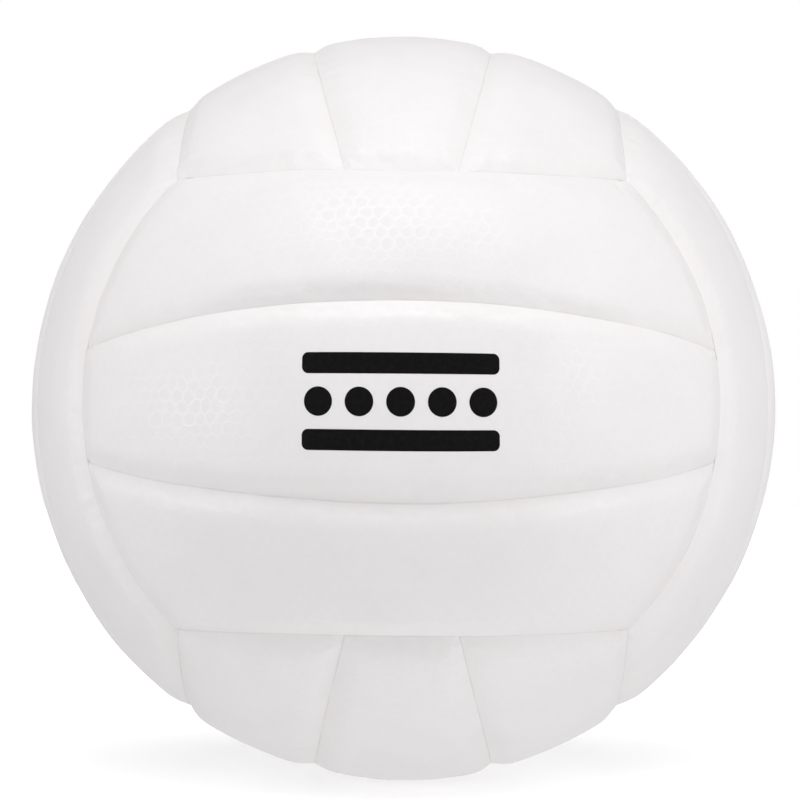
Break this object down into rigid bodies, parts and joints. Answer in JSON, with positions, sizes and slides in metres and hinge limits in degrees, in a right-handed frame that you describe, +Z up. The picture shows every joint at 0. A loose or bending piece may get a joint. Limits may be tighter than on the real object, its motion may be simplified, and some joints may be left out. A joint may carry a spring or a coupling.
{
  "type": "volleyball",
  "caption": "Round inflatable indoor game ball with rolled-edge glued cover strips over a rubber carcass and bladder, and a needle valve at the back.",
  "frame": {"origin": "centre of the ball", "axes": "+Z up, -Y towards the viewer of the printed front strip, +Y out through the valve in the middle strip of the back face, +X to the viewer's right"},
  "size_m": [0.21, 0.2099, 0.21],
  "materials": {
    "cover": "white grained synthetic leather, satin",
    "foam": "pale foam with a cloth face, matt",
    "carcass": "thin dark rubber, matt",
    "winding": "wound nylon thread set in latex",
    "bladder": "black butyl rubber, satin",
    "valve": "black moulded rubber, satin"
  },
  "bodies": {
    "root": {"bladder": "bladder", "carcass": "carcass", "cover_back_lower": "cover", "cover_back_middle": "cover", "cover_back_upper": "cover", "cover_bottom_left": "cover", "cover_bottom_middle": "cover", "cover_bottom_right": "cover", "cover_front_lower": "cover", "cover_front_middle": "cover", "cover_front_upper": "cover", "cover_left_back": "cover", "cover_left_front": "cover", "cover_left_middle": "cover", "cover_right_back": "cover", "cover_right_front": "cover", "cover_right_middle": "cover", "cover_top_left": "cover", "cover_top_middle": "cover", "cover_top_right": "cover", "foam_back_lower": "foam", "foam_back_middle": "foam", "foam_back_upper": "foam", "foam_bottom_left": "foam", "foam_bottom_middle": "foam", "foam_bottom_right": "foam", "foam_front_lower": "foam", "foam_front_middle": "foam", "foam_front_upper": "foam", "foam_left_back": "foam", "foam_left_front": "foam", "foam_left_middle": "foam", "foam_right_back": "foam", "foam_right_front": "foam", "foam_right_middle": "foam", "foam_top_left": "foam", "foam_top_middle": "foam", "foam_top_right": "foam", "thread_winding": "winding", "valve_boss": "valve", "valve_plug": "valve"}
  },
  "joints": []
}
